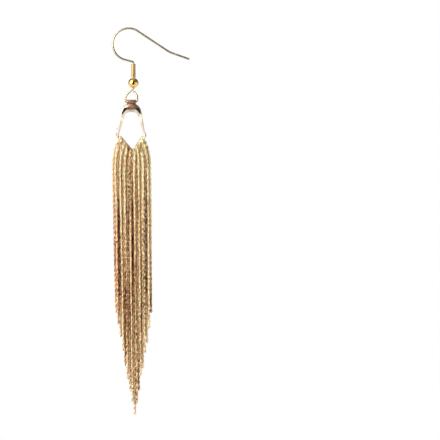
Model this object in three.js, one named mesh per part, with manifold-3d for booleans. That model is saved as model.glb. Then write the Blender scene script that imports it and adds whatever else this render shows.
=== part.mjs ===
// A dangle earring: a bent ear wire with a coil and a ball bead on its stem, and a free-swinging
// drop.  The drop is a soldered kite-shaped frame that hangs by a small bail on the wire's own
// loop, with a fringe of fine chains folded over the frame's V-shaped lower wire.
// Millimetres, +Z up.  The front is seen along +Y, and the hook opens towards +X.  The origin is
// the underside of the ear wire's crown, where the ear lobe carries it.
import * as THREE from "three";
import { mergeVertices } from "three/addons/utils/BufferGeometryUtils.js";
import Module from "manifold-3d";

const wasm = await Module();
wasm.setup();

// ---- Driving dimensions ----

const WIRE_R = 0.3;
const STEM_X = 1.42;

const HOOK = { radius: 4.78, tailAt: 56.5, stemAt: 255, steps: 28 }; // angles in degrees
const TAIL = { straight: 10.7, bendRadius: 7, bend: 14, tip: 5.5 };
const STEM_BEND_RADIUS = 0.55;

const BALL = { z: -16.14, radius: 1.54, bore: 0.4 };
const COIL = { top: -10.35, bottom: -14.58, radius: 0.7, bore: 0.4, groove: 0.07, turns: 14 };

// The open loop under the ball.  Both sides slant in to the stem, and the wire's end stands just
// behind it.
const LOOP = { top: -17.7, shoulder: -20.7, bar: -21.75, halfWidth: 1.78, corner: 0.45 };
const LOOP_LEFT_PULL = { start: 0.25, end: 1.7 };
const LOOP_END = { x: 1.4, z: -18.45, behind: 0.66, pull: 1, leanX: 2.05, leanZ: -19.3 };
const LOOP_END_STEPS = 8;
const DROP_X = 0.8;
const BAIL = { halfLength: 1.4, radius: 0.62, bore: 0.4 };

// Half the bar's breadth, seen from the front, at the crown, down the sides and at the feet.
const ARCH = { crown: 1.3, side: 0.48, foot: 0.26, halfDepth: 0.62 };
const ARCH_SLIMMING = [0.05, 0.72]; // where it slims, from 0 at the crown to 1 at a foot
const ARCH_DRAWING = [0.7, 0.98]; // where it is drawn down to the lower wire
const ARCH_TOP = -23.5;
const CORNER = { x: 4.05, z: -32.1 };
// One half of the arch's middle line as two curves, measured from the drop's centre line.
const ARCH_CROWN = [[0, ARCH_TOP], [1.35, ARCH_TOP], [2.0, -24.2], [2.42, -25.2]];
const ARCH_SIDE = [[2.42, -25.2], [2.84, -26.6], [3.3, -28.9], [CORNER.x, CORNER.z]];

const V_POINT = { x: 0.5, z: -37.4 };
const V_WIRE = { radius: 0.24, foot: 0.1, sink: 0.15 };
// Its turned-up ends: how far each stands out past the arch's side, and how high it reaches.
const TURNED_UP = { left: { gap: 0.4, rise: 2.4 }, right: { gap: 0.02, rise: 1.2 } };
// The turned-up curve's points, as shares of its gap and rise.
const TURNED_UP_CURVE = { tip: { gap: 0.35 }, bow: { rise: 0.6 }, root: { gap: 0.6, out: 0.2, rise: 0.3 } };

const CHAIN_R = 0.3;
// The folds along each arm of the V: the first one's place, in folds, how far the last stays from
// the corner, their lean as a share of the arm's own slope, and the two depths of the layers.
const FOLD = { count: 8, first: 0.6, cornerGap: 0.9, height: 0.61, lean: 0.58, near: 0.58, far: 1.05 };
const MIDDLE_FOLD = { x: 0.44, height: 0.94 }; // it sits in the point of the V, on both arms
const SPREAD = { z: -43, pitch: 0.694, x: 0.15, lean: 4.2 }; // each leg leans out this much per place
const HANG = { pitch: 0.655, lean: 0.77, backInward: 0.24 }; // the fringe hangs leaning towards +X
const LEG_EASE = 0.35;

// The chains from left to right: how low the front and the back leg end, and which layer of the
// fringe each hangs in.
const CHAINS = [
  { place: -8, front: -85.0, back: -83.4, layer: "near" },
  { place: -7, front: -88.6, back: -86.8, layer: "far" },
  { place: -6, front: -92.4, back: -90.7, layer: "near" },
  { place: -5, front: -96.4, back: -94.3, layer: "far" },
  { place: -4, front: -101.0, back: -99.1, layer: "near" },
  { place: -3, front: -105.2, back: -103.0, layer: "far" },
  { place: -2, front: -108.6, back: -106.7, layer: "near" },
  { place: -1, front: -111.9, back: -110.2, layer: "far" },
  { place: 0, front: -115.8, back: -113.0, layer: "near" },
  { place: 1, front: -112.1, back: -110.0, layer: "far" },
  { place: 2, front: -108.4, back: -106.4, layer: "near" },
  { place: 3, front: -103.8, back: -102.0, layer: "far" },
  { place: 4, front: -101.6, back: -99.6, layer: "near" },
  { place: 5, front: -97.2, back: -95.1, layer: "far" },
  { place: 6, front: -94.3, back: -92.3, layer: "near" },
  { place: 7, front: -89.6, back: -87.6, layer: "far" },
  { place: 8, front: -85.0, back: -83.6, layer: "near" },
];

// ---- Shape helpers ----

const radians = THREE.MathUtils.degToRad;
const point = (x, y, z) => new THREE.Vector3(x, y, z);

// Curves drawn in the XZ plane, each with its own number of steps, joined into one route.
function planarRoute(stretches) {
  return stretches.flatMap(([curve, steps], i) =>
    curve.getPoints(steps).slice(i ? 1 : 0).map((p) => point(p.x, 0, p.y)),
  );
}

function line(x0, z0, x1, z1) {
  return new THREE.LineCurve(new THREE.Vector2(x0, z0), new THREE.Vector2(x1, z1));
}

function arc(x, z, radius, from, to) {
  return new THREE.EllipseCurve(x, z, radius, radius, radians(from), radians(to), to < from);
}

function bezier(...xz) {
  return new THREE.CubicBezierCurve(...xz.map(([x, z]) => new THREE.Vector2(x, z)));
}

// A closed solid along a route, with a ring of corners at each point of it.  sizeAt gives the
// half width across the route and the half depth, for the share of the points passed.
function sweep(route, sides, sizeAt, across = point(0, 1, 0)) {
  const last = route.length - 1;
  const positions = [];
  const faces = [];
  route.forEach((centre, i) => {
    const ahead = route[Math.min(i + 1, last)].clone().sub(route[Math.max(i - 1, 0)]).normalize();
    across = across.clone().projectOnPlane(ahead).normalize();
    const up = ahead.clone().cross(across);
    const [a, b] = sizeAt(i / last);
    for (let j = 0; j < sides; j++) {
      const turn = (2 * Math.PI * j) / sides;
      const corner = centre.clone().addScaledVector(across, a * Math.cos(turn));
      positions.push(...corner.addScaledVector(up, b * Math.sin(turn)));
    }
  });
  for (let i = 0; i < last; i++) {
    for (let j = 0; j < sides; j++) {
      const [a, b] = [i * sides + j, i * sides + ((j + 1) % sides)];
      faces.push(a, b, b + sides, a, b + sides, a + sides);
    }
  }
  for (let j = 1; j < sides - 1; j++) {
    faces.push(0, j + 1, j, last * sides, last * sides + j, last * sides + j + 1);
  }
  const geometry = new THREE.BufferGeometry();
  geometry.setAttribute("position", new THREE.Float32BufferAttribute(positions, 3));
  geometry.setIndex(faces);
  return geometry;
}

// A round solid about the line x = STEM_X, from a closed profile of (radius, z) points.
function turned(profile, segments) {
  const outline = profile.map(([r, z]) => new THREE.Vector2(r, z));
  const geometry = new THREE.LatheGeometry([...outline, outline[0].clone()], segments);
  return geometry.rotateX(Math.PI / 2).translate(STEM_X, 0, 0);
}

function solidOf(geometry) {
  const bare = geometry.clone();
  bare.deleteAttribute("normal");
  bare.deleteAttribute("uv");
  const merged = mergeVertices(bare, 1e-4);
  return new wasm.Manifold(
    new wasm.Mesh({
      numProp: 3,
      vertProperties: merged.attributes.position.array,
      triVerts: new Uint32Array(merged.index.array),
    }),
  );
}

function geometryOf(solid) {
  const { vertProperties, triVerts } = solid.getMesh();
  const geometry = new THREE.BufferGeometry();
  geometry.setAttribute("position", new THREE.Float32BufferAttribute(vertProperties, 3));
  geometry.setIndex(new THREE.Uint32BufferAttribute(triVerts, 1));
  return geometry;
}

// ---- Ear wire, coil and ball ----

// The route runs from the hook's free tip over the crown, down the stem and round the loop.
function earWireRoute() {
  const { radius, tailAt, stemAt } = HOOK;
  const centreZ = WIRE_R - radius;
  const onHook = (deg) => [
    radius * Math.cos(radians(deg)),
    centreZ + radius * Math.sin(radians(deg)),
  ];

  const slope = 90 - tailAt; // the tail's fall below level, in degrees
  const [crownX, crownZ] = onHook(tailAt);
  const kneeX = crownX + TAIL.straight * Math.cos(radians(slope));
  const kneeZ = crownZ - TAIL.straight * Math.sin(radians(slope));
  const bendX = kneeX + TAIL.bendRadius * Math.sin(radians(slope));
  const bendZ = kneeZ + TAIL.bendRadius * Math.cos(radians(slope));
  const tipSlope = slope - TAIL.bend;
  const flexX = bendX - TAIL.bendRadius * Math.sin(radians(tipSlope));
  const flexZ = bendZ - TAIL.bendRadius * Math.cos(radians(tipSlope));
  const tipX = flexX + TAIL.tip * Math.cos(radians(tipSlope));
  const tipZ = flexZ - TAIL.tip * Math.sin(radians(tipSlope));

  const fall = 270 - stemAt; // the lower straight's fall below level
  const [footX, footZ] = onHook(stemAt);
  const turnX = STEM_X - STEM_BEND_RADIUS * (1 - Math.sin(radians(fall)));
  const turnZ = footZ - (turnX - footX) * Math.tan(radians(fall));
  const stemZ = turnZ - STEM_BEND_RADIUS * Math.cos(radians(fall));

  const left = DROP_X - LOOP.halfWidth;
  const right = DROP_X + LOOP.halfWidth;
  const { corner, bar, shoulder, top } = LOOP;
  const wire = planarRoute([
    [line(tipX, tipZ, flexX, flexZ), 3],
    [arc(bendX, bendZ, TAIL.bendRadius, 270 - tipSlope, 270 - slope), 4],
    [line(kneeX, kneeZ, crownX, crownZ), 3],
    [arc(0, centreZ, radius, tailAt, stemAt), HOOK.steps],
    [line(footX, footZ, turnX, turnZ), 1],
    [arc(STEM_X - STEM_BEND_RADIUS, stemZ, STEM_BEND_RADIUS, 90 - fall, 0), 5],
    [line(STEM_X, stemZ, STEM_X, top), 1],
    [bezier(
      [STEM_X, top],
      [STEM_X, top - LOOP_LEFT_PULL.start],
      [left, top - LOOP_LEFT_PULL.end],
      [left, shoulder],
    ), 10],
    [line(left, shoulder, left, bar + corner), 1],
    [arc(left + corner, bar + corner, corner, 180, 270), 4],
    [line(left + corner, bar, right - corner, bar), 1],
    [arc(right - corner, bar + corner, corner, 270, 360), 4],
    [line(right, bar + corner, right, shoulder), 1],
    [bezier(
      [right, shoulder],
      [right, shoulder + LOOP_END.pull],
      [LOOP_END.leanX, LOOP_END.leanZ],
      [LOOP_END.x, LOOP_END.z],
    ), LOOP_END_STEPS],
  ]);
  wire.slice(-LOOP_END_STEPS).forEach((p, i) => {
    p.y = LOOP_END.behind * THREE.MathUtils.smoothstep(i + 1, 0, LOOP_END_STEPS);
  });
  return wire;
}

function earWire() {
  const wire = earWireRoute();
  const tip = wire[0].clone().sub(wire[1]).setLength(0.6 * WIRE_R);
  wire.unshift(wire[0].clone().add(tip)); // the filed, rounded tip that goes through the ear
  return sweep(wire, 10, (t) => (t ? [WIRE_R, WIRE_R] : [WIRE_R / 2, WIRE_R / 2]));
}

// The coil's outer side is ribbed, one round rib for each turn of its wire.
function coil() {
  const pitch = (COIL.top - COIL.bottom) / COIL.turns;
  const groove = COIL.radius - COIL.groove;
  const profile = [[COIL.bore, COIL.top], [COIL.bore, COIL.bottom]];
  for (let turn = 0; turn < COIL.turns; turn++) {
    const z = COIL.bottom + turn * pitch;
    profile.push([groove, z], [COIL.radius, z + pitch / 2]);
  }
  profile.push([groove, COIL.top]);
  return turned(profile, 14);
}

function ball() {
  const mouth = Math.asin(BALL.bore / BALL.radius);
  const steps = 14;
  const profile = [];
  for (let i = 0; i <= steps; i++) {
    const turn = -Math.PI / 2 + mouth + ((Math.PI - 2 * mouth) * i) / steps;
    profile.push([BALL.radius * Math.cos(turn), BALL.z + BALL.radius * Math.sin(turn)]);
  }
  return turned(profile, 24);
}

// ---- Frame: the arch, the V-shaped wire and the bail, soldered into one ----

function archRoute() {
  const half = (side) =>
    [ARCH_CROWN, ARCH_SIDE].map((curve) => [bezier(...curve.map(([x, z]) => [side * x, z])), 8]);
  return [...planarRoute(half(-1)).reverse(), ...planarRoute(half(1)).slice(1)];
}

// Broad at the crown, slimmer down the sides, and drawn down to the lower wire at the feet.
function archSize(t) {
  const { lerp, smoothstep } = THREE.MathUtils;
  const out = Math.abs(2 * t - 1); // 0 at the crown, 1 at a foot
  const body = lerp(ARCH.crown, ARCH.side, smoothstep(out, ...ARCH_SLIMMING));
  const drawn = smoothstep(out, ...ARCH_DRAWING);
  return [lerp(ARCH.halfDepth, ARCH.foot, drawn), lerp(body, ARCH.foot, drawn)];
}

// The lower wire is laid against the arch's feet: each end is turned up along the outside of it.
function lowerWireRoute() {
  const { foot, sink } = V_WIRE;
  const { tip, bow, root } = TURNED_UP_CURVE;
  const turnedUp = (side, { gap, rise }) => {
    const x = CORNER.x + foot;
    const { z } = CORNER;
    const curve = bezier(
      [side * (x + tip.gap * gap), z + rise],
      [side * (x + gap), z + bow.rise * rise],
      [side * (x + root.gap * gap + root.out), z + root.rise * rise],
      [side * x, z - sink],
    );
    return planarRoute([[curve, 6]]);
  };
  const leftEnd = turnedUp(-1, TURNED_UP.left);
  const rightEnd = turnedUp(1, TURNED_UP.right).reverse();
  return [...leftEnd, point(V_POINT.x, 0, V_POINT.z), ...rightEnd];
}

function frame() {
  const arch = solidOf(sweep(archRoute(), 12, archSize));
  const wire = solidOf(sweep(lowerWireRoute(), 8, () => [V_WIRE.radius, V_WIRE.radius]));
  const barrel = (radius, halfLength) =>
    solidOf(
      new THREE.CylinderGeometry(radius, radius, 2 * halfLength, 20)
        .rotateZ(Math.PI / 2)
        .translate(0, 0, LOOP.bar),
    );
  const soldered = arch.add(wire).add(barrel(BAIL.radius, BAIL.halfLength));
  return geometryOf(soldered.subtract(barrel(BAIL.bore, BAIL.halfLength + 1)));
}

// ---- Chains ----

// Where a chain crosses the V-shaped wire, how far it stands off it, and the way its fold leans.
function foldPlace(place) {
  if (!place) return { ...MIDDLE_FOLD, z: V_POINT.z, down: point(0, 0, -1) };
  const side = Math.sign(place);
  const run = CORNER.x - side * V_POINT.x;
  const climb = CORNER.z - V_POINT.z;
  const spacing = (Math.hypot(run, climb) - FOLD.cornerGap) / (FOLD.count + FOLD.first);
  const along = (Math.abs(place) + FOLD.first) * spacing;
  const rise = Math.atan2(climb, run);
  const lean = FOLD.lean * rise * side;
  return {
    x: V_POINT.x + side * along * Math.cos(rise),
    z: V_POINT.z + along * Math.sin(rise),
    height: FOLD.height,
    down: point(Math.sin(lean), 0, -Math.cos(lean)),
  };
}

// One leg from the fold down to its end, front (-1) or back (+1).  A back leg hangs a little
// nearer the middle than its front leg, behind the space between two of them.
function leg(place, end, depth, facing) {
  const { x, z } = foldPlace(place);
  const lean = radians(SPREAD.lean) * place;
  const down = point(Math.sin(lean), 0, -Math.cos(lean));
  const inward = facing > 0 ? Math.sign(place) * HANG.backInward : 0;
  const drift = Math.tan(radians(HANG.lean)) * (SPREAD.z - end);
  const from = point(x, facing * depth, z);
  const spread = point(SPREAD.x + place * SPREAD.pitch - inward, facing * depth, SPREAD.z);
  const reach = LEG_EASE * (z - SPREAD.z);
  const bend = new THREE.CubicBezierCurve3(
    from,
    from.clone().addScaledVector(down, reach),
    spread.clone().add(point(0, 0, reach)),
    spread,
  );
  const foot = point(SPREAD.x + drift + place * HANG.pitch - inward, facing * depth, end);
  return [...bend.getPoints(7), spread.clone().lerp(foot, 0.5), foot];
}

function chainRoute({ place, front, back, layer }) {
  const depth = FOLD[layer];
  const { x, z, height, down } = foldPlace(place);
  const over = [150, 120, 90, 60, 30].map((deg) => {
    const rise = height * Math.sin(radians(deg));
    return point(x, depth * Math.cos(radians(deg)), z).addScaledVector(down, -rise);
  });
  return [...leg(place, front, depth, -1).reverse(), ...over, ...leg(place, back, depth, 1)];
}

function chain(row) {
  return sweep(chainRoute(row), 8, () => [CHAIN_R, CHAIN_R], point(1, 0, 0));
}

// ---- Assembly ----

const METALS = {
  wire: { color: 0xd9b45c, roughness: 0.18 },
  bead: { color: 0xe8b738, roughness: 0.08 },
  frame: { color: 0xe3b97e, roughness: 0.1 },
  chain: { color: 0xe6bd7f, roughness: 0.25 },
};

function piece(name, geometry, metal) {
  const material = new THREE.MeshStandardMaterial({ ...METALS[metal], metalness: 1 });
  const mesh = new THREE.Mesh(geometry, material);
  mesh.name = name;
  return mesh;
}

const earring = new THREE.Group();
earring.add(piece("ear_wire", earWire(), "wire"));
earring.add(piece("wire_coil", coil(), "bead"));
earring.add(piece("ball_bead", ball(), "bead"));

const drop = new THREE.Group();
drop.position.x = DROP_X;
drop.add(piece("kite_frame", frame(), "frame"));
CHAINS.forEach((row, i) => {
  drop.add(piece(`chain_${String(i + 1).padStart(2, "0")}`, chain(row), "chain"));
});
earring.add(drop);

export default earring;
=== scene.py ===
"""Dangle earring: its looks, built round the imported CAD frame.  Metres, +Z up, front seen along +Y."""

import math
import random

import bpy
from mathutils import Matrix, Vector


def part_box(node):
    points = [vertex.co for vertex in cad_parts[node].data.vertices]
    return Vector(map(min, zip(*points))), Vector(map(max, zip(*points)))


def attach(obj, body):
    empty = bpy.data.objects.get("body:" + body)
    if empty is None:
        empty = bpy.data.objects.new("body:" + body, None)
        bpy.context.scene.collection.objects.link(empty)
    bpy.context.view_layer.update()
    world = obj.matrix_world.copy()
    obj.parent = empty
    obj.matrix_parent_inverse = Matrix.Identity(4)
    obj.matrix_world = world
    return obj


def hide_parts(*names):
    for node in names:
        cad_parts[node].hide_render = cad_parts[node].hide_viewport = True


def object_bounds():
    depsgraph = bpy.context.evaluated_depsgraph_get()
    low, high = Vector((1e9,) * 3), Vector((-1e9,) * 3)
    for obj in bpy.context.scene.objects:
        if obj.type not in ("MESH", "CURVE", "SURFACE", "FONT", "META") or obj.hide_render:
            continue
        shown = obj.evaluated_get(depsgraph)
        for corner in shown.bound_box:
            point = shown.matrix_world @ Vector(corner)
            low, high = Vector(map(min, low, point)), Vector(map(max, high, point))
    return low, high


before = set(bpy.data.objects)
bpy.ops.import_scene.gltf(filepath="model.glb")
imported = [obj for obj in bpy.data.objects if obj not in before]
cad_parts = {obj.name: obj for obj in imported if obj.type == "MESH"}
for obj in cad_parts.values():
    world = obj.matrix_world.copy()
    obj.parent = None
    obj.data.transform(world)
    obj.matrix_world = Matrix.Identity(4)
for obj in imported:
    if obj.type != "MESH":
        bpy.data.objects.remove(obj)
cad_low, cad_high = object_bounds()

MM = 0.001

# ---- Driving dimensions, in millimetres and degrees ----

WIRE_R = 0.3
STEM_X = 1.42
HOOK_R, HOOK_TAIL_DEG, HOOK_STEM_DEG = 4.78, 56.5, 255
TAIL_STRAIGHT, TAIL_BEND_R, TAIL_BEND_DEG, TAIL_TIP = 10.7, 7, 14, 5.5
STEM_BEND_R = 0.55
LOOP_TOP, LOOP_SHOULDER, LOOP_BAR, LOOP_HALF, LOOP_CORNER = -17.7, -20.7, -21.75, 1.78, 0.45
LOOP_PULL_START, LOOP_PULL_END = 0.25, 1.7
LOOP_END, LOOP_END_LEAN, LOOP_END_PULL, LOOP_END_BEHIND = (1.4, -18.45), (2.05, -19.3), 1, 0.66
DROP_X = 0.8
COIL_WIRE_R, COIL_TURNS = 0.15, 14
BEAD_R, BEAD_BORE = 1.54, 0.4
BAIL_R, BAIL_BORE, BAIL_HALF = 0.62, 0.4, 1.4
ARCH_TOP = -23.5
CORNER_X, CORNER_Z = 4.05, -32.1
ARCH_CROWN = ((0, ARCH_TOP), (1.35, ARCH_TOP), (2.0, -24.2), (2.42, -25.2))
ARCH_SIDE = ((2.42, -25.2), (2.84, -26.6), (3.3, -28.9), (CORNER_X, CORNER_Z))
ARCH_BREADTH, ARCH_SIDE_BREADTH, ARCH_FOOT, ARCH_DEPTH = 1.3, 0.48, 0.26, 0.62
V_X, V_Z = 0.5, -37.4
V_WIRE_R, V_FOOT, V_SINK = 0.24, 0.1, 0.15
LEFT_END_GAP, LEFT_END_RISE, RIGHT_END_GAP, RIGHT_END_RISE = 0.4, 2.4, 0.02, 1.2
CHAIN_COUNT = 17
FOLD_COUNT, FOLD_FIRST, FOLD_CORNER_GAP, FOLD_HEIGHT, FOLD_LEAN = 8, 0.6, 0.9, 0.61, 0.58
MIDDLE_FOLD_X, MIDDLE_FOLD_HEIGHT = 0.44, 0.94
NEAR, FAR = 0.58, 1.05
SPREAD_X, SPREAD_Z, SPREAD_PITCH, SPREAD_LEAN = 0.15, -43, 0.694, 4.2
HANG_PITCH, HANG_LEAN, BACK_INWARD = 0.655, 0.77, 0.24
LEG_EASE = 0.35
LINK_LENGTH, LINK_WIDTH, LINK_WIRE = 1.0, 0.8, 0.26
LINK_PITCH, LINK_TURN = 0.48, 55  # each link is turned this much from the one before
# How far a hanging leg strays from a straight line.
SWAY, SECOND_SWAY, SECOND_WAVES, SWAY_SEED = 0.1, 0.05, 2.6, 17

# How the arch slims and is drawn down, from 0 at the crown to 1 at a foot.
ARCH_SLIMMING, ARCH_DRAWING = (0.05, 0.72), (0.7, 0.98)
# One side of the arch's section, from its outer edge to its inner edge: a nearly flat face, then
# a rounded slope down to the window.
FACE = ((-1, 0), (-0.95, 0.6), (-0.8, 0.94), (-0.4, 1), (0.1, 0.99), (0.25, 0.93), (0.95, 0.18))
SLOPED_FROM = (0.42, 0.6)  # where the face gives way to one long slope, as shares of each half
RIDGE, SLOPE_FOOT = -0.75, 0.15  # the slope runs from its ridge in to this height at the window
ROUNDED_FROM = (-23.58, -23.18)  # the crown's top is rounded, to swing clear of the loop
# A turned-up end's points, as shares of its gap and rise.
TIP_GAP, BOW_RISE, ROOT_GAP, ROOT_OUT, ROOT_RISE = 0.35, 0.6, 0.6, 0.2, 0.3
POINT_BEND, POINT_PULL = 0.05, 0.3  # the V's rounded point, as shares of its arms
RIM, RIM_STEPS, LIP_ANGLE = 0.06, 3, 40
BAIL_POOL = (0.98, (1.35, 0.5, 0.33))  # height over the arch's top, and size
CORNER_POOL = (0.36, 0.33, 0.4)

# ---- Looks: colours, and places and reaches in metres ----

CLOUD_RANGE, RUB_RANGE, RUB_SCALE, SKIN_DEPTH = (0.35, 0.65), (0.3, 0.75), 3000, 0.02
STREAK_RANGE = (0.36, 0.64)
STREAKS = (  # how closely the tone varies along each axis, and how much; the finest row is painted glints
    ((450, 300, 30), 0.3),
    ((1500, 700, 22), 0.62),
    # painted glints: fine bright and dark specks along the strands
    ((2200, 1400, 1200), 0.5),
)
# Painted light on the chains: paler and brighter towards +X and the top, and a little brighter near the
# bottom.
PAINTED_LIGHT_X_RANGE = ((DROP_X - 6) * MM, (DROP_X + 6) * MM)
PAINTED_LIGHT_TOP_RANGE, PAINTED_LIGHT_LOW_RANGE = (-0.056, -0.036), (-0.078, -0.092)
PAINTED_LIGHT_TOP_TONE, PAINTED_LIGHT_LOW_TONE, PAINTED_LIGHT_SIDE_PALENESS, PAINTED_LIGHT_TOP_PALENESS = 0.22, 0.04, 0.7, 0.2
PAINTED_SHADE_INSIDE_REACH, PAINTED_SHADE_INSIDE_STRENGTH = (-0.0005, 0.0002), 0.6  # painted shade: faces turned in towards the fringe's middle are darkened
CHAIN_GLOSS = (0.4, 0.18)
# The chains' tones: rose, and pale where the painted light makes them paler.
ROSE_TONES = (
    (0.3, (0.08, 0.028, 0.012)),
    (0.5, (0.62, 0.28, 0.13)),
    (0.68, (1.0, 0.56, 0.29)),
    (0.9, (1.0, 0.84, 0.55)),
)
PALE_TONES = (
    (0.25, (0.1, 0.04, 0.015)),
    (0.44, (0.75, 0.44, 0.2)),
    (0.62, (1.0, 0.76, 0.4)),
    (0.84, (1.0, 0.92, 0.57)),
)
# Painted shade round the bail: a dark brown tint over the crown, with a satin gloss there.
CROWN_SHADE_AND_SATIN_Z, CROWN_SHADE_AND_SATIN_REACH = -22.3, (0.0013, 0.0026)
CROWN_PAINTED_SHADE_COLOUR, CROWN_SATIN_ROUGHNESS = (0.4, 0.235, 0.155), 0.42

DARK_SIDE = (-0.08, -0.97, -0.15)
ROOM_SHADES = (  # from the side away from the dark one, at 0, to the dark one, at 1
    (0, (0.3, 0.26, 0.22)),
    (0.2, (0.34, 0.3, 0.26)),
    (0.33, (0.5, 0.46, 0.42)),
    (0.44, (0.9, 0.9, 0.9)),
    (0.6, (0.75, 0.75, 0.75)),
    (0.76, (0.5, 0.48, 0.45)),
    (0.88, (0.1, 0.08, 0.07)),
    (0.96, (0.03, 0.017, 0.01)),
)
CEILING_SHADES = (  # from straight down, at 0, to straight up, at 1
    (0, (1, 1, 1)),
    (0.58, (1, 1, 1)),
    (0.7, (0.2, 0.17, 0.15)),
    (0.85, (0.17, 0.14, 0.12)),
    (1, (0.6, 0.6, 0.6)),
)
FLOOR_SIZE, FLOOR_GAP = 3, 3
FLOOR_LIT_FROM, FLOOR_LIGHT = (-0.13, -0.07), (0.05, 0.95)
SENSOR_WIDTH, VIEW_WIDTH, VIEW_DISTANCE = 36, 0.132, 0.55
EYE_X, EYE_Z = 0.0274, -0.0572  # the earring hangs left of the middle of the view


# ---- Tools for modelling ----


def fresh():
    """Nothing selected, in object mode."""
    if bpy.context.object and bpy.context.object.mode != "OBJECT":
        bpy.ops.object.mode_set(mode="OBJECT")
    bpy.ops.object.select_all(action="DESELECT")


def only(obj):
    fresh()
    obj.select_set(True)
    bpy.context.view_layer.objects.active = obj


def settle(obj, name, smooth=True):
    """Puts the piece's place into its mesh, so that its object sits at the origin."""
    only(obj)
    bpy.ops.object.transform_apply(location=True, rotation=True, scale=True)
    obj.name = name
    obj.data.name = name
    if smooth:
        bpy.ops.object.shade_smooth()
    return obj


def joined(name, *parts):
    only(parts[0])
    for part in parts[1:]:
        part.select_set(True)
    bpy.ops.object.join()
    return settle(bpy.context.object, name)


def tidy_normals(obj, merge=0.002 * MM):
    only(obj)
    bpy.ops.object.mode_set(mode="EDIT")
    bpy.ops.mesh.select_all(action="SELECT")
    bpy.ops.mesh.remove_doubles(threshold=merge)
    bpy.ops.mesh.normals_make_consistent(inside=False)
    bpy.ops.object.mode_set(mode="OBJECT")
    return obj


def route_curve(points, radii=None, bevel=0.0, sides=3, section=None):
    """A smooth open curve through points in millimetres, with an optional thickness at each."""
    curve = bpy.data.curves.new("route", "CURVE")
    curve.dimensions = "3D"
    curve.twist_mode = "MINIMUM"
    spline = curve.splines.new("POLY")
    spline.points.add(len(points) - 1)
    for i, (knot, place) in enumerate(zip(spline.points, points)):
        knot.co = (*[c * MM for c in place], 1)
        knot.radius = radii[i] if radii else 1
    if section:
        curve.bevel_mode = "OBJECT"
        curve.bevel_object = section
    else:
        curve.bevel_depth = bevel * MM
        curve.bevel_resolution = sides
    curve.use_fill_caps = bool(bevel or section)
    obj = bpy.data.objects.new("route", curve)
    bpy.context.scene.collection.objects.link(obj)
    return obj


def as_mesh(obj):
    only(obj)
    bpy.ops.object.convert(target="MESH")
    return tidy_normals(bpy.context.object)


def wire(points, radius, sides=4, radii=None):
    """A round wire along a route, closed at both ends."""
    return as_mesh(route_curve(points, radii, radius, sides))


def apply_modifiers(obj):
    only(obj)
    for modifier in list(obj.modifiers):
        bpy.ops.object.modifier_apply(modifier=modifier.name)
    return obj


def line(start, end, steps):
    a, b = Vector(start), Vector(end)
    return [tuple(a.lerp(b, i / steps)) for i in range(steps + 1)]


def arc(centre, radius, start, end, steps):
    turns = [math.radians(start + (end - start) * i / steps) for i in range(steps + 1)]
    return [
        (centre[0] + radius * math.cos(t), 0, centre[1] + radius * math.sin(t)) for t in turns
    ]


def bezier(a, b, c, d, steps):
    a, b, c, d = map(Vector, (a, b, c, d))
    shares = [i / steps for i in range(steps + 1)]
    return [
        tuple(
            a * (1 - t) ** 3 + b * 3 * t * (1 - t) ** 2 + c * 3 * t * t * (1 - t) + d * t**3
        )
        for t in shares
    ]


def chained(*stretches):
    """Stretches of a route, end to end, without the points that they share."""
    points = list(stretches[0])
    for stretch in stretches[1:]:
        points += stretch[1:]
    return points


def smoothstep(x, low, high):
    t = min(1, max(0, (x - low) / (high - low)))
    return t * t * (3 - 2 * t)


def mixed(a, b, share):
    return a + (b - a) * share


def level(x, z):
    return (x, 0, z)


# ---- Ear wire, coil and bead ----


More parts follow.
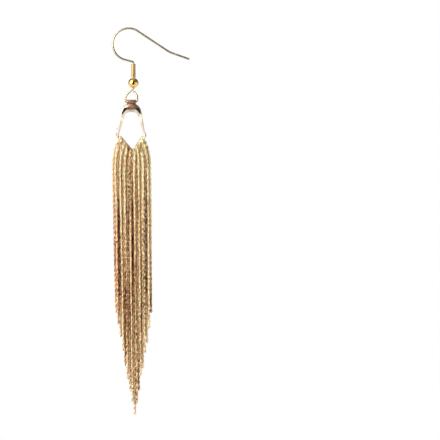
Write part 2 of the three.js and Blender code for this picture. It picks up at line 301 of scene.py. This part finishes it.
def ear_wire_route():
    """From the hook's free tip over the crown, down the stem and round the open loop."""
    rad = math.radians
    centre = (0, WIRE_R - HOOK_R)
    slope, tip_slope = rad(90 - HOOK_TAIL_DEG), rad(90 - HOOK_TAIL_DEG - TAIL_BEND_DEG)
    crown = (
        HOOK_R * math.cos(rad(HOOK_TAIL_DEG)),
        centre[1] + HOOK_R * math.sin(rad(HOOK_TAIL_DEG)),
    )
    knee = (
        crown[0] + TAIL_STRAIGHT * math.cos(slope),
        crown[1] - TAIL_STRAIGHT * math.sin(slope),
    )
    bend = (knee[0] + TAIL_BEND_R * math.sin(slope), knee[1] + TAIL_BEND_R * math.cos(slope))
    flex = (bend[0] - TAIL_BEND_R * math.sin(tip_slope), bend[1] - TAIL_BEND_R * math.cos(tip_slope))
    tip = (flex[0] + TAIL_TIP * math.cos(tip_slope), flex[1] - TAIL_TIP * math.sin(tip_slope))

    fall = rad(270 - HOOK_STEM_DEG)
    foot = (
        HOOK_R * math.cos(rad(HOOK_STEM_DEG)),
        centre[1] + HOOK_R * math.sin(rad(HOOK_STEM_DEG)),
    )
    turn_x = STEM_X - STEM_BEND_R * (1 - math.sin(fall))
    turn_z = foot[1] - (turn_x - foot[0]) * math.tan(fall)
    stem_z = turn_z - STEM_BEND_R * math.cos(fall)

    left, right = DROP_X - LOOP_HALF, DROP_X + LOOP_HALF
    low = LOOP_BAR + LOOP_CORNER
    tail = chained(
        line(level(*tip), level(*flex), 6),
        arc(bend, TAIL_BEND_R, 270 - math.degrees(tip_slope), 270 - math.degrees(slope), 8),
        line(level(*knee), level(*crown), 10),
    )
    stem = chained(
        arc(centre, HOOK_R, HOOK_TAIL_DEG, HOOK_STEM_DEG, 72),
        line(level(*foot), level(turn_x, turn_z), 3),
        arc((STEM_X - STEM_BEND_R, stem_z), STEM_BEND_R, 90 - math.degrees(fall), 0, 12),
        line(level(STEM_X, stem_z), level(STEM_X, LOOP_TOP), 8),
    )
    pull = level(STEM_X, LOOP_TOP - LOOP_PULL_START), level(left, LOOP_TOP - LOOP_PULL_END)
    loop = chained(
        bezier(level(STEM_X, LOOP_TOP), *pull, level(left, LOOP_SHOULDER), 24),
        line(level(left, LOOP_SHOULDER), level(left, low), 2),
        arc((left + LOOP_CORNER, low), LOOP_CORNER, 180, 270, 10),
        line(level(left + LOOP_CORNER, LOOP_BAR), level(right - LOOP_CORNER, LOOP_BAR), 4),
        arc((right - LOOP_CORNER, low), LOOP_CORNER, 270, 360, 10),
        line(level(right, low), level(right, LOOP_SHOULDER), 2),
    )
    pull = level(right, LOOP_SHOULDER + LOOP_END_PULL), level(*LOOP_END_LEAN)
    end = bezier(level(right, LOOP_SHOULDER), *pull, level(*LOOP_END), 24)
    end = [(x, LOOP_END_BEHIND * smoothstep(i, 0, 24), z) for i, (x, _, z) in enumerate(end)]
    return chained(tail, stem, loop, end)


def rounded_radii(points, dome):
    """Full thickness, drawn in to a dome at both ends; dome is its length in millimetres."""
    total, lengths = 0, [0]
    for a, b in zip(points, points[1:]):
        total += (Vector(b) - Vector(a)).length
        lengths.append(total)
    radii = []
    for s in lengths:
        near = min(s, total - s)
        radii.append(1 if near >= dome else math.sqrt(max(0.03, 1 - (1 - near / dome) ** 2)))
    return radii


def refine_ends(points, dome, steps=6):
    """More points in a wire's first and last dome, for the rounding there."""

    def closer(first, second):
        a, b = Vector(first), Vector(second)
        reach = min(1.0, dome / (b - a).length)
        return [tuple(a.lerp(b, reach * (i / steps) ** 1.6)) for i in range(steps + 1)]

    head, tail = closer(points[0], points[1]), closer(points[-1], points[-2])
    return head + points[1:-1] + tail[::-1]


def make_ear_wire():
    points = refine_ends(ear_wire_route(), WIRE_R)
    return settle(wire(points, WIRE_R, 6, rounded_radii(points, WIRE_R)), "ear_wire_bent")


def make_coil():
    """Close turns of fine wire round the stem, each end tucked in against it."""
    low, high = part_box("wire_coil")
    bottom, top = low.z / MM + COIL_WIRE_R, high.z / MM - COIL_WIRE_R
    reach = high.x / MM - STEM_X - COIL_WIRE_R
    steps = COIL_TURNS * 20
    points = []
    for i in range(steps + 1):
        t = i / steps
        turn = 2 * math.pi * COIL_TURNS * t
        points.append(
            (STEM_X + reach * math.cos(turn), reach * math.sin(turn), top + (bottom - top) * t)
        )
    points = refine_ends(points, COIL_WIRE_R, 3)
    radii = rounded_radii(points, COIL_WIRE_R)
    return settle(wire(points, COIL_WIRE_R * 1.02, 3, radii), "coil_wound")


def make_bead():
    """A seamless bead, bored through, with a small rolled lip round each mouth of the bore."""
    low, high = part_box("ball_bead")
    centre = (low + high) / 2
    fresh()
    bpy.ops.mesh.primitive_uv_sphere_add(
        segments=48, ring_count=32, radius=BEAD_R * MM, location=centre
    )
    bead = bpy.context.object
    settle(bead, "bead_bored")
    only(bead)
    bpy.ops.object.mode_set(mode="EDIT")
    bpy.ops.mesh.select_all(action="DESELECT")
    bpy.ops.object.mode_set(mode="OBJECT")
    mouth = math.sqrt(BEAD_R**2 - BEAD_BORE**2) * MM
    for vertex in bead.data.vertices:
        vertex.select = abs(vertex.co.z - centre.z) > mouth
    bpy.ops.object.mode_set(mode="EDIT")
    bpy.ops.mesh.delete(type="VERT")
    bpy.ops.mesh.select_mode(type="EDGE")
    bpy.ops.mesh.select_non_manifold()
    bpy.ops.mesh.bridge_edge_loops()
    bpy.ops.mesh.select_all(action="DESELECT")
    bpy.ops.object.mode_set(mode="OBJECT")
    bevel = bead.modifiers.new("lip", "BEVEL")
    bevel.width = RIM * MM
    bevel.segments = RIM_STEPS
    bevel.limit_method = "ANGLE"
    bevel.angle_limit = math.radians(LIP_ANGLE)
    apply_modifiers(bead)
    tidy_normals(bead)
    bpy.ops.object.shade_smooth()
    return bead


# ---- Kite frame ----


def dropped(x, z, y=0):
    """A point measured from the drop's centre line."""
    return (DROP_X + x, y, z)


def arch_route():
    """The arch's middle line, from its left foot over the crown to its right foot."""

    def half(side):
        crown, down = (
            bezier(*[dropped(side * x, z) for x, z in curve], 26) for curve in (ARCH_CROWN, ARCH_SIDE)
        )
        return chained(crown, down)

    return half(-1)[::-1] + half(1)[1:]


def arch_half_sizes(count):
    """Half the bar's breadth and depth along it: broad at the crown, drawn down at the feet."""
    sizes = []
    for i in range(count):
        out = abs(2 * i / (count - 1) - 1)
        body = mixed(ARCH_BREADTH, ARCH_SIDE_BREADTH, smoothstep(out, *ARCH_SLIMMING))
        drawn = smoothstep(out, *ARCH_DRAWING)
        sizes.append((mixed(body, ARCH_FOOT, drawn), mixed(ARCH_DEPTH, ARCH_FOOT, drawn)))
    return sizes


def arch_section():
    fresh()
    bpy.ops.curve.primitive_bezier_circle_add(radius=MM)
    section = bpy.context.object
    section.data.resolution_u = 3
    outline = list(FACE) + [(1, 0)] + [(u, -v) for u, v in FACE[:0:-1]]
    spline = section.data.splines[0]
    spline.bezier_points.add(len(outline) - len(spline.bezier_points))
    for knot, (u, v) in zip(spline.bezier_points, outline):
        knot.co = (u * MM, v * MM, 0)
        knot.handle_left_type = knot.handle_right_type = "AUTO"
    return section


def slope_height(across):
    """The sloped section's height, from -1 at the outer edge to 1 at the window."""
    if across < RIDGE:
        return math.sqrt(max(0, 1 - ((across - RIDGE) / (1 + RIDGE)) ** 2))
    return mixed(1, SLOPE_FOOT, (across - RIDGE) / (1 - RIDGE))


def make_arch():
    """The arched bar, drawn as a flat curve, given its section and then stood up."""
    section = arch_section()
    points = arch_route()
    sizes = arch_half_sizes(len(points))
    flat = route_curve([(x, z, 0) for x, _, z in points], [b for b, _ in sizes], section=section)
    flat.data.dimensions = "2D"
    flat.data.fill_mode = "NONE"
    bar = as_mesh(flat)
    bpy.data.objects.remove(section)
    bar.rotation_euler.x = math.pi / 2
    settle(bar, "arch")
    route = [Vector(p) * MM for p in points]
    window = Vector(dropped(0, CORNER_Z)) * MM
    for vertex in bar.data.vertices:
        here = Vector((vertex.co.x, 0, vertex.co.z))
        nearest = min(range(len(route)), key=lambda i: (route[i] - here).length)
        breadth, depth = sizes[nearest]
        across = min(1, (route[nearest] - here).length / (breadth * MM))
        if (here - window).length > (route[nearest] - window).length:
            across = -across
        faced = abs(vertex.co.y) / (breadth * MM)
        out = abs(2 * nearest / (len(route) - 1) - 1)
        height = mixed(faced, slope_height(across), smoothstep(out, *SLOPED_FROM))
        rounded = min(height, math.sqrt(max(0, 1 - across**2)))
        height = mixed(height, rounded, smoothstep(vertex.co.z / MM, *ROUNDED_FROM))
        vertex.co.y = math.copysign(height * depth * MM, vertex.co.y)
    return bar


def lower_wire_route():
    """From the left turned-up end, down the V's left arm, and up its right arm to the other end."""

    def turned_up(side, gap, rise):
        x = CORNER_X + V_FOOT
        return bezier(
            dropped(side * (x + TIP_GAP * gap), CORNER_Z + rise),
            dropped(side * (x + gap), CORNER_Z + BOW_RISE * rise),
            dropped(side * (x + ROOT_GAP * gap + ROOT_OUT), CORNER_Z + ROOT_RISE * rise),
            dropped(side * x, CORNER_Z - V_SINK),
            12,
        )

    left = turned_up(-1, LEFT_END_GAP, LEFT_END_RISE)
    right = turned_up(1, RIGHT_END_GAP, RIGHT_END_RISE)
    low = Vector(dropped(V_X, V_Z))
    near_left, near_right = (low.lerp(Vector(end[-1]), POINT_BEND) for end in (left, right))
    pull = low.lerp(near_left, POINT_PULL), low.lerp(near_right, POINT_PULL)
    bend = bezier(near_left, *pull, near_right, 8)
    arms = line(left[-1], near_left, 10), line(near_right, right[-1], 10)
    return chained(left, arms[0], bend, arms[1], right[::-1])


def make_lower_wire():
    points = refine_ends(lower_wire_route(), V_WIRE_R, 4)
    return wire(points, V_WIRE_R, 4, rounded_radii(points, V_WIRE_R))


def make_bail():
    """A short tube with rounded rims, on the loop's bar."""
    fresh()
    bpy.ops.mesh.primitive_cylinder_add(
        vertices=40,
        radius=BAIL_R * MM,
        depth=2 * BAIL_HALF * MM,
        end_fill_type="NOTHING",
        location=(DROP_X * MM, 0, LOOP_BAR * MM),
        rotation=(0, math.pi / 2, 0),
    )
    tube = bpy.context.object
    wall = tube.modifiers.new("wall", "SOLIDIFY")
    wall.thickness = (BAIL_R - BAIL_BORE) * MM
    wall.offset = -1
    rim = tube.modifiers.new("rim", "BEVEL")
    rim.width = RIM * MM
    rim.segments = RIM_STEPS
    rim.limit_method = "ANGLE"
    return apply_modifiers(tube)


def solder_bead(place, size):
    """A small pool of solder where two pieces meet."""
    fresh()
    bpy.ops.mesh.primitive_ico_sphere_add(
        subdivisions=3, radius=1, location=[c * MM for c in place], scale=[c * MM for c in size]
    )
    return bpy.context.object


def make_kite_frame():
    rise, size = BAIL_POOL
    pools = [solder_bead(dropped(0, ARCH_TOP + rise), size)]
    for side in (-1, 1):
        pools.append(solder_bead(dropped(side * CORNER_X, CORNER_Z), CORNER_POOL))
    return joined("kite_frame_soldered", make_arch(), make_lower_wire(), make_bail(), *pools)


# ---- Chains ----


def fold_place(place):
    """Where a chain crosses the V-shaped wire, its height over it, and the way its fold leans."""
    if not place:
        return MIDDLE_FOLD_X, V_Z, MIDDLE_FOLD_HEIGHT, Vector((0, 0, -1))
    side = math.copysign(1, place)
    run, climb = CORNER_X - side * V_X, CORNER_Z - V_Z
    spacing = (math.hypot(run, climb) - FOLD_CORNER_GAP) / (FOLD_COUNT + FOLD_FIRST)
    along = (abs(place) + FOLD_FIRST) * spacing
    rise = math.atan2(climb, run)
    lean = FOLD_LEAN * rise * side
    down = Vector((math.sin(lean), 0, -math.cos(lean)))
    return V_X + side * along * math.cos(rise), V_Z + along * math.sin(rise), FOLD_HEIGHT, down


def leg_end(node, facing):
    """How low a chain's front (-1) or back (1) leg ends, in millimetres."""
    return min(v.co.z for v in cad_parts[node].data.vertices if v.co.y * facing > 0) / MM


def leg(place, end, depth, facing, sway):
    """From the fold down to the leg's end, with a slight sway of its own."""
    x, z, _, _ = fold_place(place)
    lean = math.radians(SPREAD_LEAN) * place
    inward = math.copysign(BACK_INWARD, place) if facing > 0 and place else 0
    drift = math.tan(math.radians(HANG_LEAN)) * (SPREAD_Z - end)
    start = Vector((x, facing * depth, z))
    spread = Vector((SPREAD_X + place * SPREAD_PITCH - inward, facing * depth, SPREAD_Z))
    reach = LEG_EASE * (z - SPREAD_Z)
    outward = Vector((math.sin(lean), 0, -math.cos(lean))) * reach
    top = bezier(start, start + outward, spread + Vector((0, 0, reach)), spread, 16)
    foot = Vector((SPREAD_X + drift + place * HANG_PITCH - inward, facing * depth, end))
    hanging = []
    steps = 40
    for i in range(1, steps + 1):
        t = i / steps
        p = spread.lerp(foot, t)
        p.x += math.sin(math.pi * t) * sway[0] + math.sin(SECOND_WAVES * math.pi * t) * sway[1]
        hanging.append(p)
    return [dropped(p[0], p[2], p[1]) for p in top + hanging]


def chain_route(node, place, chance):
    depth = FAR if place % 2 else NEAR
    x, z, height, down = fold_place(place)
    over = []
    for deg in range(170, 0, -10):
        turn = math.radians(deg)
        p = Vector((x, depth * math.cos(turn), z)) - down * height * math.sin(turn)
        over.append(dropped(p.x, p.z, p.y))
    sways = [
        (chance.uniform(-SWAY, SWAY), chance.uniform(-SECOND_SWAY, SECOND_SWAY)) for _ in range(2)
    ]
    front = leg(place, leg_end(node, -1), depth, -1, sways[0])
    back = leg(place, leg_end(node, 1), depth, 1, sways[1])
    return front[::-1] + over + back


def route_length(points):
    return sum((Vector(b) - Vector(a)).length for a, b in zip(points, points[1:]))


def make_link():
    """One oval link of round wire, lying along X."""
    fresh()
    bpy.ops.mesh.primitive_torus_add(
        major_segments=12,
        minor_segments=5,
        major_radius=(LINK_WIDTH - LINK_WIRE) / 2 * MM,
        minor_radius=LINK_WIRE / 2 * MM,
    )
    link = bpy.context.object
    straight = (LINK_LENGTH - LINK_WIDTH) / 2 * MM
    for vertex in link.data.vertices:
        vertex.co.x += math.copysign(straight, vertex.co.x)
    return settle(link, "link")


def make_chain(number, link, chance):
    node = f"chain_{number:02d}"
    place = number - 1 - CHAIN_COUNT // 2
    points = chain_route(node, place, chance)
    length = route_length(points)
    count = round((length - (LINK_LENGTH - LINK_PITCH)) / LINK_PITCH)
    pitch = (length - LINK_LENGTH) / (count - 1)

    only(link)
    bpy.ops.object.duplicate()
    chain = bpy.context.object
    chain.data.transform(Matrix.Rotation(chance.uniform(0, math.pi), 4, "X"))
    chain.data.transform(Matrix.Translation((LINK_LENGTH / 2 * MM, 0, 0)))
    fresh()
    bpy.ops.object.empty_add(location=(pitch * MM, 0, 0), rotation=(math.radians(LINK_TURN), 0, 0))
    step = bpy.context.object
    row = chain.modifiers.new("links", "ARRAY")
    row.count = count
    row.use_relative_offset = False
    row.use_object_offset = True
    row.offset_object = step
    route = route_curve(points)
    bent = chain.modifiers.new("route", "CURVE")
    bent.object = route
    bent.deform_axis = "POS_X"
    apply_modifiers(chain)
    bpy.data.objects.remove(step)
    bpy.data.objects.remove(route)
    return settle(chain, f"{node}_links")


# ---- Materials ----


def feed(links, socket, value):
    """Sets a socket, from another socket or to a constant."""
    if isinstance(value, bpy.types.NodeSocket):
        links.new(value, socket)
    else:
        socket.default_value = value


def noise(nodes, links, vector, scale, detail):
    texture = nodes.new("ShaderNodeTexNoise")
    texture.inputs["Detail"].default_value = detail
    feed(links, texture.inputs["Vector"], vector)
    feed(links, texture.inputs["Scale"], scale)
    return texture.outputs["Fac"]


def ranged(nodes, links, value, source, target=(0, 1)):
    """The value, moved from one range to another and held at its ends."""
    node = nodes.new("ShaderNodeMapRange")
    feed(links, node.inputs["Value"], value)
    node.inputs["From Min"].default_value, node.inputs["From Max"].default_value = source
    feed(links, node.inputs["To Min"], target[0])
    feed(links, node.inputs["To Max"], target[1])
    return node.outputs["Result"]


def calculated(nodes, links, operation, *values):
    node = nodes.new("ShaderNodeMath")
    node.operation = operation
    for socket, value in zip(node.inputs, values):
        feed(links, socket, value)
    return node.outputs["Value"]


def summed(nodes, links, *weighted):
    """The sum of (value, weight) pairs."""
    total = 0
    for value, weight in weighted:
        total = calculated(nodes, links, "MULTIPLY_ADD", value, weight, total)
    return total


def along(nodes, links, vector, operation, other, output="Value"):
    """A vector's product, dot product or distance with a constant one."""
    node = nodes.new("ShaderNodeVectorMath")
    node.operation = operation
    node.inputs[1].default_value = other
    links.new(vector, node.inputs[0])
    return node.outputs[output]


def parts_of(nodes, links, vector):
    split = nodes.new("ShaderNodeSeparateXYZ")
    links.new(vector, split.inputs["Vector"])
    return split.outputs


def mixed_colour(nodes, links, share, first, second, blend="MIX"):
    mix = nodes.new("ShaderNodeMix")
    mix.data_type = "RGBA"
    mix.blend_type = blend
    for name, value in (("Factor", share), ("A", first), ("B", second)):
        feed(links, mix.inputs[name], value)
    return mix.outputs["Result"]


def ramp(nodes, links, value, stops):
    """Colours along a value, from (position, colour) stops."""
    colours = nodes.new("ShaderNodeValToRGB")
    elements = colours.color_ramp.elements
    for element, (position, colour) in zip(elements, (stops[0], stops[-1])):
        element.position, element.color = position, (*colour, 1)
    for position, colour in stops[1:-1]:
        elements.new(position).color = (*colour, 1)
    links.new(value, colours.inputs["Fac"])
    return colours.outputs["Color"]


def new_group(name, given, put_out):
    """An empty shader group, and its input and output nodes."""
    group = bpy.data.node_groups.new(name, "ShaderNodeTree")
    for way, sockets in (("INPUT", given), ("OUTPUT", put_out)):
        for label, kind in sockets:
            group.interface.new_socket(label, in_out=way, socket_type=f"NodeSocket{kind}")
    nodes = group.nodes
    return group, nodes.new("NodeGroupInput").outputs, nodes.new("NodeGroupOutput").inputs


def plating_group():
    """Worn gold plating: cloudy tone, fine rubbing marks in the gloss, and a faint hammered skin."""
    floats = ("Cloud Scale", "Rub Scale", "Polish", "Rubbed", "Skin")
    group, given, out = new_group(
        "gold_plating",
        (("Bright", "Color"), ("Deep", "Color"), *((name, "Float") for name in floats)),
        (("Colour", "Color"), ("Roughness", "Float"), ("Normal", "Vector")),
    )
    nodes, links = group.nodes, group.links
    place = nodes.new("ShaderNodeTexCoord").outputs["Object"]
    cloud = noise(nodes, links, place, given["Cloud Scale"], 3)
    rub = noise(nodes, links, place, given["Rub Scale"], 4)
    tone = ranged(nodes, links, cloud, CLOUD_RANGE)
    links.new(mixed_colour(nodes, links, tone, given["Deep"], given["Bright"]), out["Colour"])
    gloss = ranged(nodes, links, rub, RUB_RANGE, (given["Polish"], given["Rubbed"]))
    links.new(gloss, out["Roughness"])
    bump = nodes.new("ShaderNodeBump")
    bump.inputs["Distance"].default_value = SKIN_DEPTH * MM
    links.new(given["Skin"], bump.inputs["Strength"])
    links.new(rub, bump.inputs["Height"])
    links.new(bump.outputs["Normal"], out["Normal"])
    return group


def metal(name, group, **settings):
    """A metal that takes its varying colour, gloss and normal from a group."""
    material = bpy.data.materials.new(name)
    material.use_nodes = True
    nodes, links = material.node_tree.nodes, material.node_tree.links
    shader = nodes["Principled BSDF"]
    shader.inputs["Metallic"].default_value = 1
    node = nodes.new("ShaderNodeGroup")
    node.node_tree = group
    for label, value in settings.items():
        node.inputs[label.replace("_", " ").title()].default_value = value
    for label, socket in (("Colour", "Base Color"), ("Roughness", "Roughness"), ("Normal", "Normal")):
        if label in node.outputs:
            links.new(node.outputs[label], shader.inputs[socket])
    return material


def gold(name, plating, bright, deep, polish, rubbed, cloud=400, skin=0):
    return metal(
        name,
        plating,
        bright=(*bright, 1),
        deep=(*deep, 1),
        polish=polish,
        rubbed=rubbed,
        cloud_scale=cloud,
        rub_scale=RUB_SCALE,
        skin=skin,
    )


def fringe_group():
    """Each strand's own tone, with painted glints and darker turns along it; painted light makes it
    paler and brighter towards +X and the top, and painted shade darkens the faces turned in towards the
    fringe's middle.
    """
    group, _, out = new_group("fringe_tone_and_painted_light", (), (("Colour", "Color"), ("Roughness", "Float")))
    nodes, links = group.nodes, group.links
    coordinates = nodes.new("ShaderNodeTexCoord").outputs
    place = coordinates["Object"]
    x, y, z = parts_of(nodes, links, place)

    def streaks(stretch):
        streaked = along(nodes, links, place, "MULTIPLY", stretch, "Vector")
        return ranged(nodes, links, noise(nodes, links, streaked, 1, 2), STREAK_RANGE)

    # Painted light: paler and brighter towards +X and the top, a little brighter near the bottom.
    side = ranged(nodes, links, x, PAINTED_LIGHT_X_RANGE)
    high = ranged(nodes, links, z, PAINTED_LIGHT_TOP_RANGE)
    low = ranged(nodes, links, z, PAINTED_LIGHT_LOW_RANGE)
    tone = summed(
        nodes,
        links,
        *((streaks(stretch), weight) for stretch, weight in STREAKS),
        (high, PAINTED_LIGHT_TOP_TONE),
        (low, PAINTED_LIGHT_LOW_TONE),
    )
    # Painted shade: darkens the faces that turn in towards the fringe's middle, where the front and back
    # legs shade each other.
    outward = calculated(
        nodes, links, "MULTIPLY", parts_of(nodes, links, coordinates["Normal"])["Y"], y
    )
    inside = ranged(nodes, links, outward, PAINTED_SHADE_INSIDE_REACH, (PAINTED_SHADE_INSIDE_STRENGTH, 0))
    tone = calculated(nodes, links, "SUBTRACT", tone, inside)
    painted_light_paleness = summed(nodes, links, (side, PAINTED_LIGHT_SIDE_PALENESS), (high, PAINTED_LIGHT_TOP_PALENESS))
    rose, pale = (ramp(nodes, links, tone, tones) for tones in (ROSE_TONES, PALE_TONES))
    links.new(mixed_colour(nodes, links, painted_light_paleness, rose, pale), out["Colour"])
    links.new(ranged(nodes, links, tone, (0, 1), CHAIN_GLOSS), out["Roughness"])
    return group


def crown_shade_and_satin_group():
    """How the plating is tinted and glossed round the bail: a painted shade of dark brown with a satin
    gloss there, and the plating's own colour and gloss away from it.
    """
    sockets = (("Colour", "Color"), ("Roughness", "Float"))
    group, given, out = new_group("crown_painted_shade_and_satin", sockets, sockets)
    nodes, links = group.nodes, group.links
    place = nodes.new("ShaderNodeTexCoord").outputs["Object"]
    reach = along(nodes, links, place, "DISTANCE", (DROP_X * MM, 0, CROWN_SHADE_AND_SATIN_Z * MM))
    crown_share = ranged(nodes, links, reach, CROWN_SHADE_AND_SATIN_REACH, (1, 0))
    crown_painted_shade = mixed_colour(nodes, links, crown_share, given["Colour"], (*CROWN_PAINTED_SHADE_COLOUR, 1))
    links.new(crown_painted_shade, out["Colour"])
    rough = nodes.new("ShaderNodeMix")
    for name, value in (("Factor", crown_share), ("A", given["Roughness"]), ("B", CROWN_SATIN_ROUGHNESS)):
        feed(links, rough.inputs[name], value)
    links.new(rough.outputs["Result"], out["Roughness"])
    return group


# Adds the painted shade and satin gloss round the bail to a material.
def with_crown_shade_and_satin(material):
    nodes, links = material.node_tree.nodes, material.node_tree.links
    shader = nodes["Principled BSDF"]
    crown_look = nodes.new("ShaderNodeGroup")
    crown_look.node_tree = crown_shade_and_satin_group()
    for name, socket in (("Colour", "Base Color"), ("Roughness", "Roughness")):
        links.new(shader.inputs[socket].links[0].from_socket, crown_look.inputs[name])
        links.new(crown_look.outputs[name], shader.inputs[socket])
    return material


def finish_with(obj, material):
    obj.data.materials.clear()
    obj.data.materials.append(material)


# ---- Studio ----


def white_to_camera(nodes, links, kind, output, studio):
    """White where the camera looks straight at it, and its own light everywhere else."""
    paper = nodes.new(kind)
    paper.inputs["Color"].default_value = (1, 1, 1, 1)
    path = nodes.new("ShaderNodeLightPath")
    mix = nodes.new("ShaderNodeMixShader")
    links.new(path.outputs["Is Camera Ray"], mix.inputs["Fac"])
    links.new(studio.outputs[0], mix.inputs[1])
    links.new(paper.outputs[0], mix.inputs[2])
    links.new(mix.outputs["Shader"], nodes.new(output).inputs["Surface"])


def make_floor():
    """A white sheet that glows: white to the camera, and to the gold a painted light that shines only
    behind and beside the earring.
    """
    fresh()
    bpy.ops.mesh.primitive_plane_add(size=FLOOR_SIZE, location=(0, 0, cad_low.z - FLOOR_GAP * MM))
    floor = bpy.context.object
    floor.name = "floor"
    material = bpy.data.materials.new("floor_white")
    material.use_nodes = True
    nodes, links = material.node_tree.nodes, material.node_tree.links
    nodes.clear()
    x, y, _ = parts_of(nodes, links, nodes.new("ShaderNodeTexCoord").outputs["Object"])
    wide = calculated(nodes, links, "ABSOLUTE", x)
    reach = calculated(nodes, links, "ADD", wide, y)
    sheet = nodes.new("ShaderNodeEmission")
    lit = ranged(nodes, links, reach, FLOOR_LIT_FROM, FLOOR_LIGHT)
    links.new(lit, sheet.inputs["Strength"])
    white_to_camera(nodes, links, "ShaderNodeEmission", "ShaderNodeOutputMaterial", sheet)
    finish_with(floor, material)


def softbox(name, place, aim, size, power):
    light = bpy.data.lights.new(name, "AREA")
    light.shape = "RECTANGLE"
    light.size, light.size_y = size
    light.energy = power
    lamp = bpy.data.objects.new(name, light)
    lamp.location = place
    lamp.rotation_euler = (Vector(aim) - Vector(place)).to_track_quat("-Z", "Y").to_euler()
    bpy.context.scene.collection.objects.link(lamp)


def make_world():
    """White to the camera.  To the metal: a white wall behind, and a dark room in front and above."""
    world = bpy.data.worlds.new("studio")
    bpy.context.scene.world = world
    world.use_nodes = True
    nodes, links = world.node_tree.nodes, world.node_tree.links
    nodes.clear()
    way = nodes.new("ShaderNodeTexCoord").outputs["Generated"]
    front = along(nodes, links, way, "DOT_PRODUCT", Vector(DARK_SIDE).normalized())
    room = ramp(nodes, links, ranged(nodes, links, front, (-1, 1)), ROOM_SHADES)
    height = ranged(nodes, links, parts_of(nodes, links, way)["Z"], (-1, 1))
    ceiling = ramp(nodes, links, height, CEILING_SHADES)
    studio = nodes.new("ShaderNodeBackground")
    both = mixed_colour(nodes, links, 1, room, ceiling, "MULTIPLY")
    links.new(both, studio.inputs["Color"])
    white_to_camera(nodes, links, "ShaderNodeBackground", "ShaderNodeOutputWorld", studio)


def make_camera():
    camera = bpy.data.cameras.new("camera")
    camera.sensor_width = SENSOR_WIDTH
    camera.lens = SENSOR_WIDTH * VIEW_DISTANCE / VIEW_WIDTH
    camera.clip_start, camera.clip_end = 0.01, 10
    eye = bpy.data.objects.new("camera", camera)
    eye.location = (EYE_X, -VIEW_DISTANCE, EYE_Z)
    eye.rotation_euler = (math.pi / 2, 0, 0)
    bpy.context.scene.collection.objects.link(eye)
    bpy.context.scene.camera = eye


# ---- Assembly ----


def place_piece(obj, node, body, material):
    finish_with(obj, material)
    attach(obj, body)
    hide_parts(node)


plating = plating_group()
WIRE_GOLD = gold("wire_gold", plating, (0.6, 0.5, 0.34), (0.48, 0.4, 0.28), 0.3, 0.4)
COIL_GOLD = gold("coil_gold", plating, (0.74, 0.53, 0.24), (0.6, 0.41, 0.16), 0.4, 0.5)
BEAD_GOLD = gold(
    "bead_gold", plating, (0.98, 0.72, 0.25), (0.88, 0.56, 0.14), 0.05, 0.12, cloud=250, skin=0.05
)
# The frame carries painted shade round the bail.
FRAME_GOLD = with_crown_shade_and_satin(
    gold("frame_gold", plating, (0.88, 0.75, 0.61), (0.78, 0.62, 0.47), 0.08, 0.2, skin=0.05)
)
CHAIN_GOLD = metal("chain_gold", fringe_group())

place_piece(make_ear_wire(), "ear_wire", "hook", WIRE_GOLD)
place_piece(make_coil(), "wire_coil", "hook", COIL_GOLD)
place_piece(make_bead(), "ball_bead", "hook", BEAD_GOLD)
place_piece(make_kite_frame(), "kite_frame", "drop", FRAME_GOLD)

chance = random.Random(SWAY_SEED)
link = make_link()
for number in range(1, CHAIN_COUNT + 1):
    chain = make_chain(number, link, chance)
    place_piece(chain, f"chain_{number:02d}", "drop", CHAIN_GOLD)
bpy.data.objects.remove(link)

make_floor()
make_world()
make_camera()
middle = (cad_low + cad_high) / 2
aim = (middle.x, 0, middle.z)
softbox("left_box", (-0.34, -0.29, -0.02), aim, (0.28, 0.34), 0.18)
softbox("right_strip", (0.42, -0.22, middle.z + 0.03), aim, (0.14, 0.4), 0.08)
softbox("right_front", (0.27, -0.42, middle.z + 0.02), aim, (0.14, 0.42), 0.12)
softbox("low_front", (-0.08, -0.3, -0.3), aim, (0.4, 0.16), 2)
softbox("bead_light", (-0.22, -0.2, 0.12), (STEM_X * MM, 0, -0.016), (0.36, 0.36), 2)
bpy.context.scene.view_settings.view_transform = "Standard"
